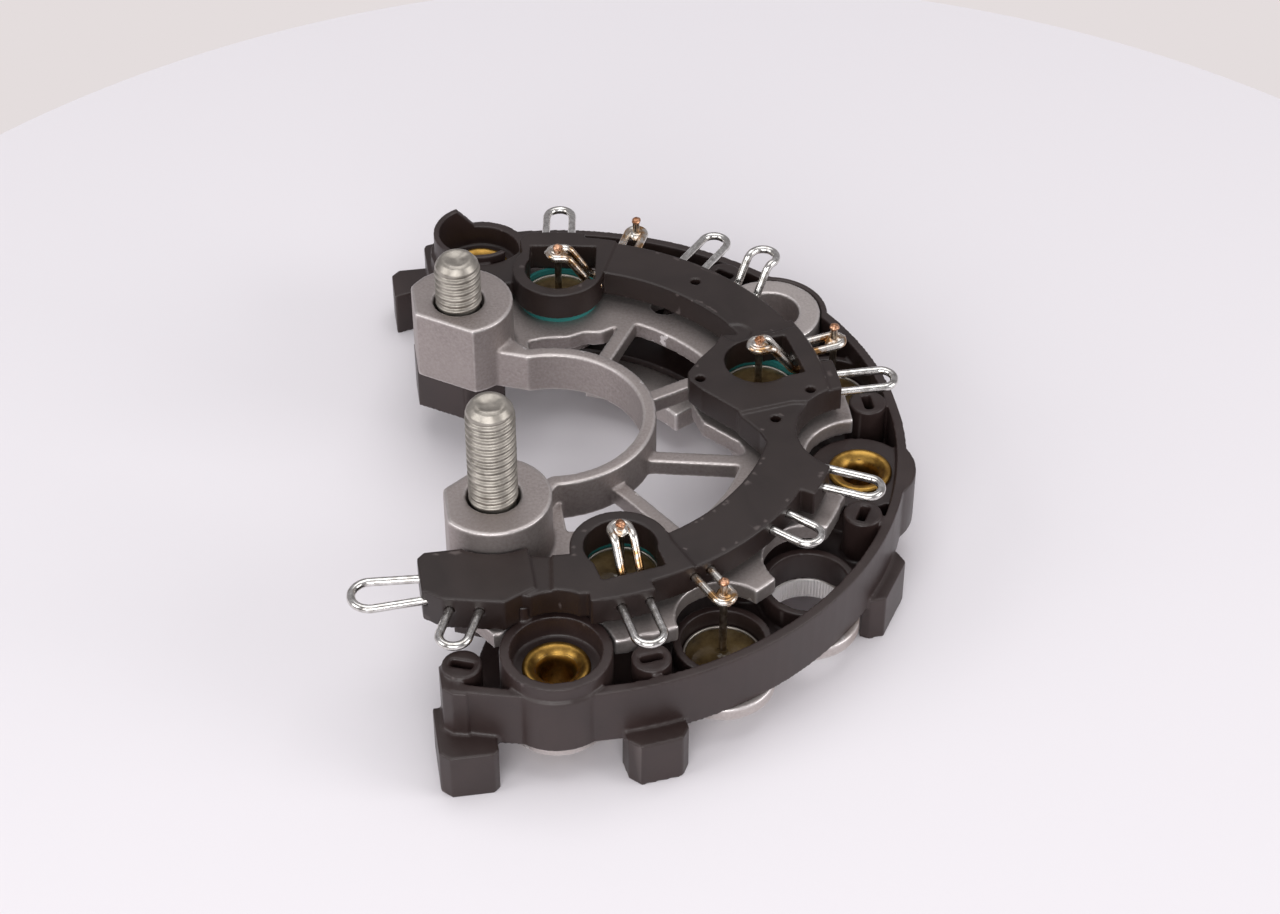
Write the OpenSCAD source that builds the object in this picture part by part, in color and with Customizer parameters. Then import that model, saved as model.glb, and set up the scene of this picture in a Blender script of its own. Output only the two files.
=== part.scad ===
// Alternator rectifier: a C-shaped bridge of six press-fit diodes.
// Origin: centre of the arc, on the plane that the feet stand on. +X runs along
// the line of symmetry, away from the open side of the C. Units are millimetres.

/* [Layout] */
// Radius of the circle of the rivets and of the outer, negative diodes
fixing_r = 52; // [51:0.5:54]
// Angle of the front and rear rivets, either side of the line of symmetry
rivet_end_a = 96.6; // [94:0.2:98]
// Angle of the right-hand rivet
rivet_right_a = -15.9; // [-18:0.2:-14]
// Angle of the bare fixing boss on the negative heat sink
ground_a = 34; // [32:0.5:35]
// Radius of the circle of the inner, positive diodes
inner_r = 36.8; // [36:0.1:38]
// Angle of the front and rear positive diodes, either side of the line of symmetry
inner_end_a = 80; // [78:0.5:82]
// Angle of the right-hand positive diode
inner_right_a = 8.5; // [7:0.5:11]
// Angle of the front negative diode
outer_front_a = -66.4; // [-68:0.2:-64]
// Angle of the right-hand negative diode
outer_right_a = 12.8; // [11:0.2:14]
// Angle of the rear negative diode
outer_rear_a = 65; // [64:0.2:67]
// Angle of the empty diode hole
empty_a = -45; // [-47:0.5:-43]

/* [Heights] */
// Underside of the negative heat sink above the feet
sink_z = 4.5; // [3:0.5:6]
// Thickness of the negative heat sink
sink_t = 4; // [3.5:0.25:5]
// Height of the housing's outer wall above its lower edge
wall_h = 10.5; // [9:0.5:12]
// Depth of the lower rim of the negative heat sink, which the wall stands on
rim_t = 2.5; // [2:0.25:3]
// Thickness of the housing's floor
floor_t = 1.5; // [1:0.25:2.5]
// Air gap between the two heat sinks
sink_gap = 8; // [7:0.5:10]
// Thickness of the positive heat sink
plate_t = 3; // [2:0.25:4]
// Gap between the positive heat sink and the carrier above it
carrier_gap = 1.4; // [1:0.1:2]
// Thickness of the terminal carrier
carrier_t = 5.1; // [4:0.1:7]
// Height of the stud bosses above the top of the positive heat sink
boss_h = 10; // [8:0.5:13]
// Height of the hub ring above the top of the positive heat sink
hub_rise = 4; // [3:0.5:6]

/* [Housing] */
// Outside radius of the outer wall
wall_r = 59.7; // [59:0.1:61]
// Thickness of the outer wall
wall_t = 1.7; // [1.2:0.1:2.2]
// Bore radius of a rivet well
well_r = 7.1; // [6.6:0.1:7.3]
// Thickness of a rivet well's wall
well_t = 1.7; // [1:0.1:2]
// Height of a rivet's seat above the housing's floor
seat_h = 6; // [5:0.5:7]
// Height of the front and rear wells above their seats
well_h = 4; // [3:0.25:4.5]
// Outside radius of a diode collar
collar_r = 7.9; // [7.7:0.1:8.4]
// Height of a diode collar above the housing's floor
collar_h = 4; // [3:0.25:5]
// Outside radius of a slotted lead tube
tube_r = 3.15; // [2.8:0.05:3.4]
// Height of a slotted lead tube above the housing's floor
tube_h = 8.2; // [7:0.1:9]
// Length of the slot in a lead tube
slot_l = 3.6; // [3:0.1:4]
// Width of the slot in a lead tube
slot_w = 1.5; // [1.2:0.1:1.8]

/* [Heat sinks] */
// Outside radius of the positive heat sink
plate_r = 51; // [50:0.5:52]
// Inside radius of the positive heat sink's band
plate_in_r = 32.6; // [31:0.2:34]
// Radius of a diode seat's outside
diode_seat_r = 8; // [7.8:0.1:8.8]
// Depth of a diode seat below the top of the positive heat sink
diode_seat_h = 6.5; // [6:0.25:7]
// Inside radius of the hub ring
hub_r = 15.5; // [14:0.5:16]
// Wall of the hub ring
hub_t = 2.3; // [1.8:0.1:3]
// Height of the hub ring
hub_h = 7.7; // [6:0.1:8.4]
// Width of a spoke
spoke_w = 2.7; // [2:0.1:4]
// Radius of a stud boss
boss_r = 9.3; // [9:0.1:9.8]
// Distance of the stud bosses from the line of symmetry
boss_y = 25.35; // [25:0.05:26]
// Distance of the stud bosses behind the centre of the arc
boss_x = 12.2; // [11.5:0.1:13]
// Distance from a stud to the flat on the open side of its boss
boss_flat = 7.8; // [7:0.1:8.5]
// Clearance radius of the bore around a stud
stud_bore_r = 4.35; // [4.2:0.05:4.8]
// Radius of the ground boss on the negative heat sink
ground_r = 9; // [8.6:0.1:9.2]
// Radius of the ground boss's bore
ground_bore_r = 5.2; // [4.2:0.1:5.6]

/* [Diodes] */
// Outside radius of a diode cup, a 12.75 mm press fit
cup_r = 6.375; // [6.25:0.025:6.5]
// Height of a diode cup
cup_h = 6.6; // [6:0.1:7]
// Wall of a diode cup
cup_t = 0.5; // [0.4:0.05:0.8]
// Radius of a diode's head wire
lead_r = 0.62; // [0.5:0.02:0.7]

/* [Rivets and studs] */
// Bore radius of a tubular rivet, for an M5 screw
rivet_bore_r = 2.75; // [2.6:0.05:2.9]
// Wall of a tubular rivet
rivet_t = 0.5; // [0.4:0.05:0.6]
// Radius of a rivet's upper flange
flange_r = 5.35; // [5:0.05:6]
// Radius of a stud over its M8 thread
stud_r = 3.95; // [3.9:0.01:4]
// Radius of a stud's splined shank, pressed into the foot of its boss
shank_r = 4.12; // [4.05:0.01:4.2]
// Radius of a stud's plain neck, between its shank and its thread
neck_r = 3.6; // [3.4:0.05:3.7]
// Height of the front stud above its boss
stud_front_h = 19; // [12:0.5:24]
// Height of the rear stud above its boss
stud_rear_h = 9; // [6:0.5:14]

/* [Wires] */
// Diameter of the connecting wire
wire_d = 1.4; // [1.2:0.05:1.5]
// Height of the wires above the underside of the carrier
wire_h = 2.7; // [2:0.1:3.4]
// Half the width of an open wire loop, between wire centres
loop_half = 2.3; // [1.9:0.05:2.6]
// Half the width of a crimped wire loop, between wire centres
crimp_half = 1.5; // [1.4:0.05:1.7]
// Depth to which a wire is moulded into the carrier
root_l = 2.4; // [1.6:0.1:3]

/* [Clearances] */
// Clearance around a piece that is pressed or moulded in
press_gap = 0.02; // [0.01:0.01:0.05]
// Clearance around a piece that is laid in place
fit_gap = 0.15; // [0.1:0.05:0.3]

/* [Hidden] */

plastic = "#3a3231";
cast = "#8e8683";
tin = "#c9c6c3";

// Levels, from the feet up
sink_top = sink_z + sink_t;
wall_z = sink_z + rim_t;
floor_top = sink_top + floor_t;
seat_z = floor_top + seat_h;
plate_z = sink_top + sink_gap;
plate_top = plate_z + plate_t;
seat_low = plate_top - diode_seat_h;
carrier_z = plate_top + carrier_gap;
carrier_top = carrier_z + carrier_t;
boss_z = plate_z - 0.5;
boss_top = plate_top + boss_h;
hub_top = plate_top + hub_rise;
wire_z = carrier_z + wire_h;
wire_r = wire_d / 2;
leg_d = wire_d - 0.01;
splice = 0.05;
// Hair's-breadth step between faces that would otherwise lie in one plane
step = 0.03;

wall_in_r = wall_r - wall_t;
end_front_a = -112.5;
end_rear_a = 104;
lobe_r = well_r + well_t + 0.5;
shield_t = 1;
shield_z = seat_z + well_h + 4.3;
ground_lobe_r = ground_r + fit_gap + wall_t - 0.6;
sink_r = wall_in_r - 0.6;
sink_lobe_r = 8.6;
sink_in_r = 33;
sink_end_in_r = 38;
notch_r = well_r + well_t + 0.4;
rivet_r = rivet_bore_r + rivet_t;
flange_t = 0.6;
socket_r = cup_r + press_gap;
window_r = cup_r - 0.6;
window_out = 6.5;
pad_rise = 0.4;
scoop_r = 10.9;
cup_sink = 0.5;
potting_rise = 0.35;
positive_cup_z = plate_top + cup_sink - cup_h;
negative_cup_z = sink_z;
lead_top = carrier_top + 0.6;
eye_z = carrier_top + 3.2;

rivet_angles = [-rivet_end_a, rivet_right_a, rivet_end_a];
inner_angles = [-inner_end_a, inner_right_a, inner_end_a];
outer_angles = [outer_front_a, outer_right_a, outer_rear_a];
tube_places = [[54.6, -112], [54.4, -81], [54.6, -29], [54.6, 1], [54.6, 47.5], [54.4, 80]];
// Spacer posts of the housing, which hold up the positive heat sink
post_places = [[44.5, -103], [43, -51], [43, -27], [42, 23], [42, 50], [43, 98]];
post_r = 2.6;
pin_r = 1.5;
pin_depth = 2;

function polar(r, a) = [r * cos(a), r * sin(a)];

// Moves its children to radius r at angle a, and turns them to face outward
module at(r, a, z = 0) {
    rotate([0, 0, a]) translate([r, 0, z]) children();
}

// Part of a ring between two radii and two angles
module ring(r0, r1, a0, a1, z, h) {
    translate([0, 0, z]) rotate([0, 0, a0])
        rotate_extrude(angle = a1 - a0, $fn = 180) translate([r0, 0]) square([r1 - r0, h]);
}

module rod(r, z, h, n = 64) {
    translate([0, 0, z]) cylinder(r = r, h = h, $fn = n);
}

module slab(points, z, h) {
    translate([0, 0, z]) linear_extrude(h) polygon(points);
}

// The same children in front of and behind the line of symmetry
module both_sides() {
    children();
    mirror([0, 1, 0]) children();
}

// A wire bent step by step from the origin along +Z. Each step is
// [turn about the wire, straight length, bend radius, bend angle]. The straight
// stretches are a hair thinner than the bends and run a little way into them.
module bent_wire(steps, i = 0) {
    if (i < len(steps)) {
        s = steps[i];
        rotate([0, 0, s[0]]) {
            translate([0, 0, i > 0 ? -splice : 0])
                cylinder(d = leg_d, h = s[1] + (i > 0 ? 2 : 1) * splice, $fn = 32);
            if (s[3] > 0)
                translate([s[2], 0, s[1]]) rotate([90, 0, 180])
                    rotate_extrude(angle = s[3], $fn = 96)
                        translate([s[2], 0]) circle(d = wire_d, $fn = 32);
            translate([s[2], 0, s[1]]) rotate([0, s[3], 0]) translate([-s[2], 0, 0])
                bent_wire(steps, i + 1);
        }
    }
}

// Round end of a doubled wire, closing on itself by an angle on either side
module wire_turn(r, splay = 0) {
    rotate([0, 0, -90 - splay])
        rotate_extrude(angle = 180 + 2 * splay, $fn = 96)
            translate([r, 0]) circle(d = wire_d, $fn = 32);
}

// Wire bent double along +X: two legs, half apart from the middle, that splay
// by an angle and join in a round end
module hairpin(half, l, splay = 0) {
    turn_r = (half + l * sin(splay)) / cos(splay);
    translate([l * cos(splay) + turn_r * sin(splay), 0, 0]) wire_turn(turn_r, splay);
    both_sides()
        translate([0, -half, 0]) rotate([0, 0, -splay]) rotate([0, 90, 0])
            cylinder(d = leg_d, h = l + splice, $fn = 32);
}

// Doubled wire that climbs by h over a run beyond its root, at slope b with
// bends of radius r, and ends level
module raised_hairpin(half, root, run, h, b, r) {
    l = (h - 2 * r * (1 - cos(b))) / sin(b);
    rest = run - 2 * r * sin(b) - l * cos(b);
    translate([root + run, 0, h]) wire_turn(half);
    both_sides()
        translate([0, -half, 0]) rotate([0, 90, 0])
            bent_wire([[180, root, r, b], [180, l, r, b], [0, rest, 0, 0]]);
}

// Where a wire's root is moulded in, cut a little wider than the wire
module wire_root(half, l, splay = 0) {
    both_sides()
        translate([0, -half, 0]) rotate([0, 0, -splay]) rotate([0, 90, 0])
            translate([0, 0, -0.1]) cylinder(r = wire_r + press_gap, h = l + 2, $fn = 32);
}

// Radius and angle where each outer loop leaves the carrier, half width,
// straight length outside the carrier and splay of its legs
front_left_at = [48.6, -113.2, loop_half, 5.6, 0];
front_at = [48, -81.5, loop_half, 6.6, 0];
front_crimp_at = [46, outer_front_a, crimp_half, fixing_r - 46, 0];
empty_at = [46, -44.6, loop_half, 5, 0];
right_front_at = [48.4, -28.8, loop_half, 6.6, 0];
right_at = [49, 0.2, loop_half, 7.4, 0];
right_crimp_at = [47, outer_right_a, crimp_half, fixing_r - 47, 0];
ground_at = [46.3, 35.5, loop_half, 0.2, 0];
rear_right_at = [46, 50, loop_half, 9, 0];
rear_crimp_at = [46, outer_rear_a, crimp_half, fixing_r - 46, 0];
rear_at = [47.5, 80.5, loop_half, 7.6, 0];
loops = [front_left_at, front_at, front_crimp_at, empty_at, right_front_at, right_at,
    right_crimp_at, ground_at, rear_right_at, rear_crimp_at, rear_at];
end_loop_x = -25.4;
end_loop_y = -39;
end_splay = 4;
window_root_l = 1.2;

module seat_wire(p) {
    at(p[0] - root_l, p[1], wire_z) children();
}

// Where the wire of a window crimp leaves the window's outer or side wall
module window_place(a, side = 0) {
    at(inner_r, a, wire_z) rotate([0, 0, side]) translate([-window_out - window_root_l, 0, 0])
        children();
}

// Cast aluminium plate with the hub ring, spokes and the two stud bosses
module positive_heat_sink() {
    color(cast) difference() {
        union() {
            ring(plate_in_r, plate_r, -97, 97, plate_z, plate_t);
            plate_bulges();
            hub();
            both_sides() plate_end();
            both_sides() stud_boss();
            for (a = inner_angles)
                at(inner_r, a) rod(diode_seat_r, seat_low, diode_seat_h);
        }
        for (a = inner_angles)
            at(inner_r, a) rod(socket_r, seat_low - 1, diode_seat_h + 2);
        plate_notches();
        both_sides() stud_bore();
        at(39.6, 51.5) rod(2.5, plate_z - 1, plate_t + 2);
        for (p = post_places)
            at(p[0], p[1]) rod(pin_r + fit_gap, plate_z - 1, plate_t + 2, 32);
    }
}

// Room for the wells, the ground boss and the negative diodes at the plate's rim
module plate_notches() {
    for (a = rivet_angles)
        at(fixing_r, a) rod(notch_r, plate_z - 8, boss_h + 8);
    at(fixing_r, ground_a) rod(ground_r + 0.8, plate_z - 1, plate_t + 2);
    for (a = concat(outer_angles, [empty_a]))
        at(fixing_r, a) rod(collar_r - 0.5, plate_z - 1, plate_t + 2);
    for (p = tube_places)
        at(p[0], p[1]) rod(tube_r + 0.6, plate_z - 1, plate_t + 2, 32);
}

// The plate reaches inward under the carrier at the right-hand diode
module plate_bulges() {
    slab([[33, -15.5], [30.6, -7.4], [25.6, -1.6], [24.6, 3.4], [27, 8.2], [30, 11.6], [33, 14.4]],
        plate_z, plate_t);
}

module hub() {
    ring(hub_r, hub_r + hub_t, -97, 97, hub_top - hub_h, hub_h);
    spoke([8.8, -14.3], [18.4, -30.7]);
    spoke([15.6, -8.6], [33.6, -12.8]);
    spoke([15.6, 5.8], [33.6, 12.4]);
    spoke([9.6, 14.3], [19.6, 30.7]);
    both_sides() {
        slab([[-1.9, hub_r + 0.1], [-1.2, hub_r + hub_t], [-4.4, 22], [-9, 20], [-6.5, 17.6]],
            hub_top - hub_h, hub_h);
        slab([[-1.4, hub_r + 0.4], [-0.6, hub_r + hub_t], [-0.6, 25.4], [-8, 27], [-8, 20]],
            plate_z, plate_t);
    }
}

// Spoke from point p to point q, level with the top of the plate
module spoke(p, q) {
    translate([p[0], p[1], plate_z]) rotate([0, 0, atan2(q[1] - p[1], q[0] - p[0])])
        translate([0, -spoke_w / 2, 0]) cube([norm(q - p), spoke_w, plate_t]);
}

// The plate's end, which carries a boss
module plate_end() {
    slab([[-19, 30], [-19, 40], [-15, 46.5], [-4, 46], [8, 42], [18, 33], [17.4, 27.4],
        [12.4, 25.2], [9.5, 25.7], [6.7, 24.8], [2.4, 25.1], [-0.8, 24.6], [-12, 30]],
        plate_z, plate_t);
}

// Round boss with flats towards the opening of the C
module stud_boss() {
    difference() {
        translate([-boss_x, boss_y, 0]) rod(boss_r, boss_z, boss_top - boss_z, 96);
        translate([-boss_x - boss_flat - 10, boss_y - 15, boss_z - 1])
            cube([10, 30, boss_top - boss_z + 2]);
        translate([-boss_x, boss_y, boss_z - 1]) rotate([0, 0, 144.6])
            translate([-15, boss_flat - 1.1, 0]) cube([30, 10, boss_top - boss_z + 2]);
        translate([-boss_x, boss_y, boss_z - 1]) rotate([0, 0, 135]) translate([6.6, 6.6, 0])
            cube([10, 10, plate_t + 2]);
    }
}

// Clearance bore around the stud, with the hold of its splined shank at the foot
module stud_bore() {
    translate([-boss_x, boss_y, 0]) {
        rod(stud_bore_r, plate_top, boss_h + 1);
        rod(shank_r + press_gap, boss_z - 1, plate_top - boss_z + 2);
    }
}

// Cast aluminium plate under the housing, with the bare fixing boss
module negative_heat_sink() {
    color("#a49e99") difference() {
        union() {
            ring(sink_end_in_r, sink_r, -106, 103, sink_z, sink_t);
            ring(sink_in_r, sink_end_in_r + 1, -72, 72, sink_z + step, sink_t - 2 * step);
            ring(27.5, sink_in_r + 1, 30, 70, sink_z + 2 * step, sink_t - 4 * step);
            for (a = rivet_angles)
                at(fixing_r, a) rod(sink_lobe_r - 0.6, sink_z + step, rim_t - step);
            for (a = concat(outer_angles, [empty_a]))
                at(fixing_r, a) rod(sink_lobe_r, sink_z + step, rim_t - step);
            at(fixing_r, ground_a)
                rod(ground_r, sink_z + 2 * step, wall_z + wall_h - sink_z - 2 * step);
        }
        for (a = concat(outer_angles, [empty_a]))
            at(fixing_r, a) rod(socket_r, sink_z - 1, sink_t + 2);
        for (a = rivet_angles)
            at(fixing_r, a) rod(rivet_r + press_gap, sink_z - 1, sink_t + 2);
        at(fixing_r, ground_a) rod(ground_bore_r, sink_z - 1, wall_z + wall_h);
    }
}

// Moulded insulator between the heat sinks: floor, outer wall, wells and feet
module insulating_housing() {
    color(plastic) difference() {
        union() {
            ring(34.5, wall_in_r + 0.1, end_front_a, end_rear_a, sink_top, floor_t);
            outer_wall();
            end_walls();
            for (a = rivet_angles)
                at(fixing_r, a) rod(well_r + well_t, sink_top + 0.5, seat_z - sink_top - 0.5);
            for (a = [-rivet_end_a, rivet_end_a])
                at(fixing_r, a) rod(well_r + well_t, seat_z - 0.1, well_h + 0.1);
            rear_shield();
            intersection() {
                for (a = concat(outer_angles, [empty_a]))
                    at(fixing_r, a) rod(collar_r, sink_top + 0.5, floor_t + collar_h - 0.5);
                rod(wall_in_r + 0.5, sink_top - 1, floor_t + collar_h + 2, 180);
            }
            for (p = tube_places)
                at(p[0], p[1]) rod(tube_r, sink_top + 0.5, floor_t + tube_h - 0.5, 48);
            for (p = post_places) {
                at(p[0], p[1]) rod(post_r, sink_top + 0.5, plate_z - sink_top - 0.5, 48);
                at(p[0], p[1]) rod(pin_r, plate_z - 0.1, plate_t + carrier_gap + pin_depth + 0.1, 32);
            }
            both_sides() boss_block();
            feet();
        }
        for (a = [-rivet_end_a, rivet_end_a])
            at(fixing_r, a) rod(well_r, seat_z, well_h + 6);
        for (a = rivet_angles)
            at(fixing_r, a) rod(rivet_r + press_gap, sink_top - 1, seat_h + floor_t + 2);
        for (a = concat(outer_angles, [empty_a]))
            at(fixing_r, a) rod(socket_r + fit_gap, wall_z - 1, floor_t + collar_h + 4);
        seat_cuts();
        at(fixing_r, ground_a) rod(ground_r + fit_gap, wall_z - 1, wall_h + 2);
        for (p = tube_places)
            at(p[0], p[1], floor_top)
                translate([-slot_w / 2, -slot_l / 2, 0]) cube([slot_w, slot_l, tube_h + 1]);
    }
}

// Thin outer wall, with lobes around the wells and the ground boss
module outer_wall() {
    difference() {
        union() {
            ring(wall_in_r - 1, wall_r, end_front_a, end_rear_a, wall_z, wall_h);
            for (a = rivet_angles)
                at(fixing_r, a) rod(lobe_r, wall_z + step, wall_h - 2 * step);
            at(fixing_r, ground_a) rod(ground_lobe_r, wall_z + step, wall_h - 2 * step);
        }
        rod(wall_in_r, wall_z - 1, wall_h + 2, 180);
    }
}

// The wall turns inward at both ends of the C
module end_walls() {
    h = wall_z + wall_h - sink_top - 5 * step;
    slab([[-24, -49.6], [-22, -49.6], [-22, -52.4], [-20.6, -54], [-20.4, -56.6], [-22.6, -56],
        [-24, -54.6]], sink_top + 2 * step, h);
    slab([[-15.6, 47.2], [-13.6, 47.2], [-13.6, 54.6], [-12.4, 56], [-12, 59], [-15.2, 58.2],
        [-15.6, 57.4]], sink_top + 2 * step, h);
}

// The rear well is taller on the sides that face the studs, and ends in a peak
module rear_shield() {
    difference() {
        at(fixing_r, rivet_end_a) rotate([0, 0, 84 - rivet_end_a])
            translate([0, 0, seat_z + well_h - 0.5]) rotate_extrude(angle = 216, $fn = 96)
                translate([well_r - 0.6, 0]) square([shield_t + 0.6, shield_z - seat_z - well_h + 0.5]);
        translate([-9.6, 52.4, shield_z + 0.5]) rotate([0, 52, 0]) cube([20, 12, 20]);
    }
}

// Block that carries a stud boss
module boss_block() {
    slab([[-20, 26], [-12.5, 20.8], [-5, 23.5], [-5, 37], [-11, 36], [-20, 31.8]],
        wall_z - 0.5, hub_top - hub_h - wall_z + 0.5);
}

// Feet below the outer wall, each with its outer corners cut off
module feet() {
    h = wall_z + 1.6;
    slab([[-25.4, -50], [-18.2, -50], [-16.2, -52], [-16.2, -60.4], [-17.1, -61.3],
        [-23.8, -61.3], [-25.4, -59.7]], 0, h);
    slab([[-21.6, 55], [-13.6, 57.2], [-13.6, 63], [-20.2, 63], [-21.6, 61.6]], 0, h);
    both_sides() foot(-82, 63.5, 9.8, h);
    foot(-32.2, 61.9, 12.8, h);
    foot(49.5, 61.9, 9, h);
}

// Room for the diode seats of the positive heat sink
module seat_cuts() {
    for (a = inner_angles)
        at(inner_r, a) rod(diode_seat_r + fit_gap, seat_low - fit_gap, diode_seat_h);
}

module foot(a, r1, w, h) {
    rotate([0, 0, a]) slab([[wall_in_r + 0.1, -w / 2], [r1 - 2, -w / 2], [r1, 1.6 - w / 2],
        [r1, w / 2 - 1.6], [r1 - 2, w / 2], [wall_in_r + 0.1, w / 2]], 0, h);
}

// Moulded ring segment that carries the wires, with a window over each inner diode
module terminal_carrier() {
    color("#352d2c") difference() {
        union() {
            carrier_band();
            carrier_pads();
            carrier_end_block();
        }
        carrier_windows();
        at(fixing_r, -rivet_end_a) rod(well_r, carrier_z - 2, carrier_t + 4);
        at(fixing_r, rivet_end_a) rod(well_r + well_t + fit_gap, carrier_z - 2, carrier_t + 4);
        at(fixing_r, rivet_right_a) rod(scoop_r, carrier_z - 1, carrier_t + 3);
        both_sides() translate([-boss_x, boss_y, 0])
            rod(boss_r + 0.6, carrier_z - 3, carrier_t + 5, 96);
        for (p = loops)
            seat_wire(p) wire_root(p[2], root_l);
        translate([end_loop_x + root_l, end_loop_y, wire_z]) rotate([0, 0, 180])
            wire_root(loop_half, root_l, end_splay);
        window_place(inner_angles[0], 180) wire_root(crimp_half, window_root_l);
        window_place(inner_angles[1], 180) wire_root(crimp_half, window_root_l);
        window_place(inner_angles[2], 90) wire_root(crimp_half, window_root_l);
        for (p = post_places)
            at(p[0], p[1]) rod(pin_r + fit_gap, carrier_z - 3, pin_depth + 3 + fit_gap, 32);
        for (p = [[41.6, 44.5], [25.9, 5], [43.6, -4.6], [37.6, -14.6]])
            at(p[0], p[1]) rod(0.85, carrier_top - 2.5, 4, 24);
        at(36.8, 22) rod(2.6, carrier_top - 0.6, 2, 48);
    }
}

// Band between the window pads, a little lower than they are
module carrier_band() {
    h = carrier_t - pad_rise;
    ring(37, 46, -111, 88, carrier_z, h);
    ring(36.6, 45.6, 88, 103.5, carrier_z, 2.6);
    ring(45, 48.4, -36.5, -24, carrier_z, h);
    ring(45, 49, -5.2, 5, carrier_z, h);
    ring(45, 47, 4.9, 20, carrier_z, h);
    slab([[34, -15.6], [33.2, -12.4], [30.7, -7.7], [30, -4], [40, -4], [40, -15.6]], carrier_z, h);
}

// Raised pads around the three windows
module carrier_pads() {
    ring(37, 48, -90, -77.6, carrier_z, carrier_t);
    ring(37, 46.1, -97, -68.2, carrier_z, carrier_t);
    ring(37, 46.2, 67.4, 89, carrier_z, carrier_t);
    ring(45, 47.5, 74.6, 88.6, carrier_z, carrier_t);
    ring(37, 46.6, -8.6, 17.2, carrier_z, carrier_t);
    at(inner_r, -inner_end_a) rod(diode_seat_r, carrier_z, carrier_t, 96);
    at(inner_r, inner_end_a) rod(diode_seat_r, carrier_z, carrier_t, 96);
    slab([[31, -7.4], [25.6, -0.6], [23.9, 2.4], [24, 4.2], [26.6, 7.6], [29.8, 10.8], [31.8, 14],
        [40, 13], [40, -6]], carrier_z, carrier_t);
}

// Square end at the open side of the C, in front
module carrier_end_block() {
    difference() {
        slab([[-25.4, -34.4], [-24.2, -33.2], [-18, -33.2], [-8, -34], [-8, -43.6],
            [-13, -46.2], [-22.5, -44], [-25.4, -41.6]], plate_top + 0.3,
            carrier_top - plate_top - 0.3);
        at(fixing_r, -rivet_end_a)
            rod(well_r + well_t + fit_gap, carrier_z - 3, seat_z + well_h + fit_gap - carrier_z + 3);
    }
}

// Windows over the inner diodes: round, and open outward to the window's wall
module carrier_windows() {
    for (a = inner_angles)
        at(inner_r, a) {
            rod(window_r, carrier_z - 1, carrier_t + 3);
            translate([0, -window_r + 0.6, carrier_z - 1])
                cube([window_out, 2 * window_r - 1.2, carrier_t + 3]);
        }
    at(inner_r, inner_end_a) translate([-3, -window_out, carrier_z - 1])
        cube([window_out + 3, window_out, carrier_t + 3]);
}

// Studs, threaded above their bosses and held there by a splined shank
module stud(side, h) {
    color("#b9b5ae") translate([-boss_x, side * boss_y, 0])
        rotate_extrude($fn = 96) polygon([[0, boss_z + 0.2], [shank_r - 0.6, boss_z + 0.2],
            [shank_r, boss_z + 0.8], [shank_r, plate_top - 0.6], [neck_r, plate_top],
            [neck_r, boss_top - 0.05], [stud_r, boss_top + 0.3], [stud_r, boss_top + h - 2.4],
            [stud_r - 0.3, boss_top + h - 1.2], [stud_r - 1.2, boss_top + h],
            [1.6, boss_top + h], [0, boss_top + h - 0.4]]);
}

module stud_front() {
    stud(-1, stud_front_h);
}

module stud_rear() {
    stud(1, stud_rear_h);
}

// Tubular brass rivet, flared at both ends
module rivet(a) {
    low = sink_z - flange_t;
    color("#b08d3c") at(fixing_r, a) rotate_extrude($fn = 96) polygon([
        [rivet_bore_r, low], [4.6, low], [4.6, sink_z], [rivet_r, sink_z], [rivet_r, seat_z],
        [flange_r, seat_z], [flange_r, seat_z + flange_t], [flange_r - 0.4, seat_z + flange_t + 0.2],
        [rivet_r + 0.7, seat_z + flange_t - 0.1], [rivet_bore_r, seat_z - 0.6]]);
}

module rivet_front() {
    rivet(rivet_angles[0]);
}

module rivet_right() {
    rivet(rivet_angles[1]);
}

module rivet_rear() {
    rivet(rivet_angles[2]);
}

// Drawn cup of a press-fit diode, which holds the silicon die
module cup(r, a, z) {
    color("#b3aca4") at(r, a, z) rotate_extrude($fn = 96) polygon([[0, 0], [cup_r - 0.5, 0],
        [cup_r, 0.5], [cup_r, cup_h], [cup_r - cup_t, cup_h], [cup_r - cup_t, 2.6], [0, 2.6]]);
}

// Cast resin in the cup, around the foot of the head wire
module potting(r, a, z) {
    color("#4a4022") at(r, a, z) rotate_extrude($fn = 96) polygon([[lead_r + press_gap, 2.6],
        [cup_r - cup_t - press_gap, 2.6], [cup_r - cup_t - press_gap, cup_h - 0.1],
        [cup_r - 1.4, cup_h + potting_rise], [lead_r + press_gap, cup_h + potting_rise]]);
}

// Head wire of a diode, from the die up to its crimp
module lead(r, a, z, top) {
    color("#b98a6a") at(r, a, 0) rotate_extrude($fn = 48) polygon([[0, z + 2.6], [lead_r, z + 2.6],
        [lead_r, top - 0.3], [lead_r - 0.3, top], [0, top]]);
}

// Insulating ring around the top of a positive diode, under the carrier
module seal_ring(a) {
    color("#2f7d78") at(inner_r, a, plate_top) rotate_extrude($fn = 96)
        translate([cup_r + 0.05, 0]) square([0.65, carrier_gap - 0.05]);
}

module positive_cup_front() { cup(inner_r, inner_angles[0], positive_cup_z); }
module positive_cup_right() { cup(inner_r, inner_angles[1], positive_cup_z); }
module positive_cup_rear() { cup(inner_r, inner_angles[2], positive_cup_z); }
module negative_cup_front() { cup(fixing_r, outer_front_a, negative_cup_z); }
module negative_cup_right() { cup(fixing_r, outer_right_a, negative_cup_z); }
module negative_cup_rear() { cup(fixing_r, outer_rear_a, negative_cup_z); }

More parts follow.
